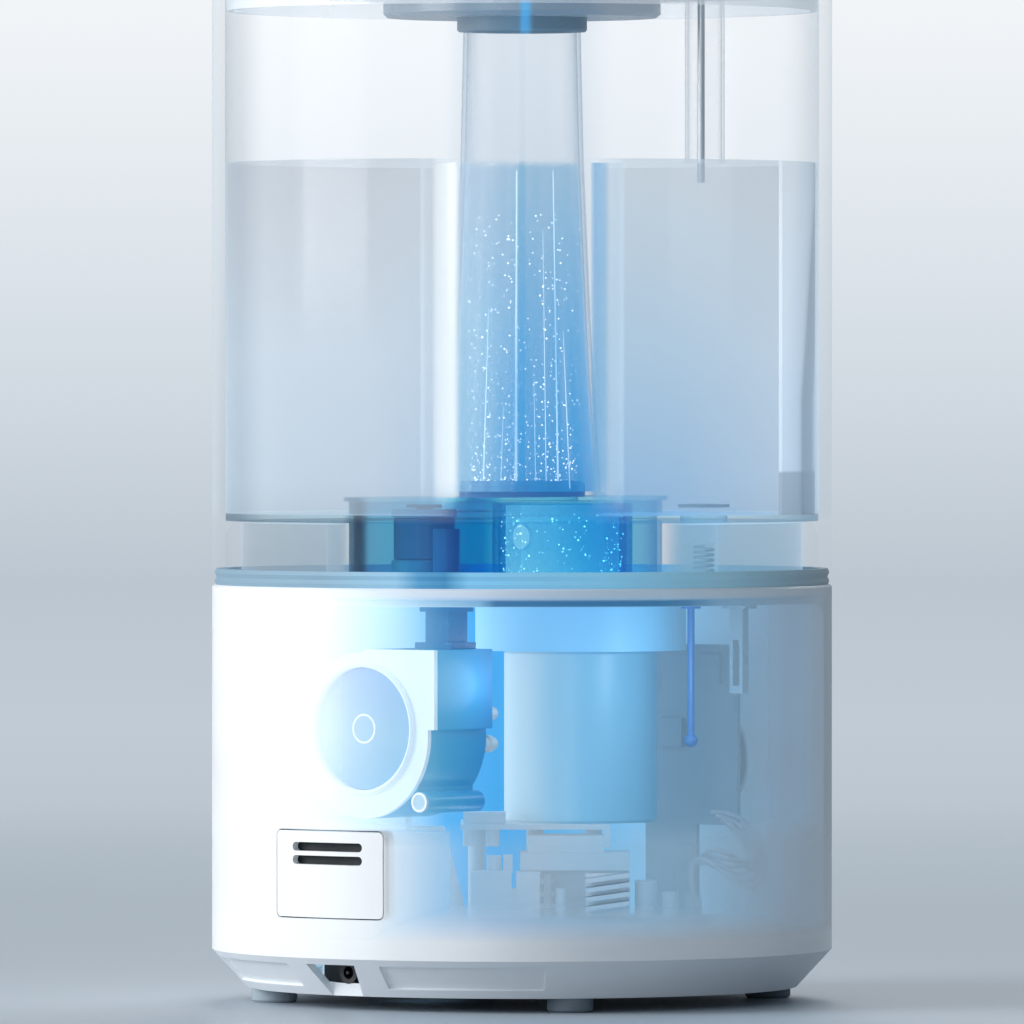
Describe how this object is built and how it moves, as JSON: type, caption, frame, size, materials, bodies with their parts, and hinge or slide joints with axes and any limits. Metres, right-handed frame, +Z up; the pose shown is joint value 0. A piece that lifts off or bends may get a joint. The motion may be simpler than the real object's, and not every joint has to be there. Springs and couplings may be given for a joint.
{
  "type": "cool mist humidifier",
  "caption": "Round top-fill cool mist humidifier: clear tank with a central mist chimney on a white base with fan, ultrasonic transducer, float, aroma drawer and knob.",
  "frame": {"origin": "middle of the plane the feet stand on, under the chimney", "axes": "+Z up, -Y towards the front with the control knob, +Y towards the rear with the aroma drawer and the cord notch"},
  "size_m": [0.19, 0.19, 0.315],
  "materials": {
    "white_shell": "satin moulded ABS",
    "white_inner": "plain inner moulding",
    "foot_rubber": "soft matte",
    "black_plastic": "fine matte",
    "zinc_steel": "zinc plated",
    "fan_plastic": "fine matte",
    "motor_case": "satin",
    "duct_blue": "satin",
    "can_plastic": "satin",
    "nickel_disc": "plated",
    "blue_rubber": "soft matte",
    "lamp_clear": "clear epoxy",
    "circuit_board": "solder mask",
    "fin_aluminium": "extruded",
    "wire_jacket": "soft vinyl",
    "well_clear": "clear blue tint",
    "post_plastic": "satin",
    "pad_fabric": "felt",
    "tank_clear": "polished clear",
    "grey_rubber": "soft matte",
    "valve_plastic": "translucent",
    "spring_steel": "drawn wire",
    "panel_pale": "pearl translucent",
    "lid_clear": "smoked clear",
    "cup_grey": "satin"
  },
  "bodies": {
    "base": {"base_shell": "white_shell", "base_floor": "white_shell", "deck_tray": "white_inner", "drawer_sleeve": "white_inner", "chassis_plate": "white_inner", "fan_bracket": "white_inner", "intake_cone": "white_inner", "control_bezel": "white_inner", "rubber_feet": "foot_rubber", "dc_jack": "black_plastic", "encoder": "black_plastic", "lamp_base": "black_plastic", "reed_switch": "black_plastic", "board_parts": "black_plastic", "floor_screws": "zinc_steel", "fan_screws": "zinc_steel", "level_probe": "zinc_steel", "fan_housing": "fan_plastic", "fan_cover": "fan_plastic", "fan_motor": "motor_case", "transformer": "motor_case", "air_duct": "duct_blue", "transducer_housing": "can_plastic", "transducer_cap": "can_plastic", "sound_cone": "can_plastic", "driver_module": "can_plastic", "piezo_disc": "nickel_disc", "piezo_seal": "blue_rubber", "lamp_post": "lamp_clear", "power_board": "circuit_board", "control_board": "circuit_board", "heat_sink": "fin_aluminium", "wire_harness": "wire_jacket", "mist_well": "well_clear", "float_post": "post_plastic", "valve_pin": "post_plastic"},
    "drawer": {"drawer_panel": "white_shell", "aroma_pad": "pad_fabric"},
    "fan_wheel": {"impeller": "fan_plastic"},
    "float": {"float_base": "white_inner", "float_band": "duct_blue", "float_cap": "white_inner"},
    "knob": {"control_knob": "white_inner"},
    "tank": {"tank_wall": "tank_clear", "tank_floor": "tank_clear", "chimney": "tank_clear", "chimney_seal": "blue_rubber", "tank_gasket": "grey_rubber", "valve_seat": "valve_plastic", "valve_spring": "spring_steel", "side_panel": "panel_pale"},
    "valve": {"valve_stem": "valve_plastic", "valve_washer": "grey_rubber"},
    "lid": {"lid_ring": "lid_clear", "lid_gasket": "grey_rubber", "mist_cup": "cup_grey", "collar_seal": "grey_rubber", "level_tube": "tank_clear", "level_rod": "zinc_steel"},
    "nozzle": {"nozzle": "cup_grey"}
  },
  "joints": [
    {"name": "drawer_slide", "type": "slide", "parent": "base", "child": "drawer", "axis": [0, 1, 0], "range_m": [0, 0.034]},
    {"name": "fan_spin", "type": "hinge", "parent": "base", "child": "fan_wheel", "pos_m": [0, 0.065, 0.0848], "axis": [0, 1, 0], "continuous": true},
    {"name": "float_ride", "type": "slide", "parent": "base", "child": "float", "axis": [0, 0, 1], "range_m": [-0.0024, 0.0003], "stiffness_N_per_m": 21, "springref_m": 0.003},
    {"name": "knob_turn", "type": "hinge", "parent": "base", "child": "knob", "pos_m": [0, -0.085, 0.072], "axis": [0, -1, 0], "range_deg": [0, 270]},
    {"name": "tank_lift", "type": "slide", "parent": "base", "child": "tank", "axis": [0, 0, 1], "range_m": [0, 0.06]},
    {"name": "valve_open", "type": "slide", "parent": "tank", "child": "valve", "axis": [0, 0, 1], "range_m": [0, 0.003], "stiffness_N_per_m": 150, "deforming": ["valve_spring"]},
    {"name": "lid_lift", "type": "slide", "parent": "tank", "child": "lid", "axis": [0, 0, 1], "range_m": [0, 0.065]},
    {"name": "nozzle_turn", "type": "hinge", "parent": "lid", "child": "nozzle", "pos_m": [0, 0, 0.305], "axis": [0, 0, 1], "continuous": true}
  ]
}
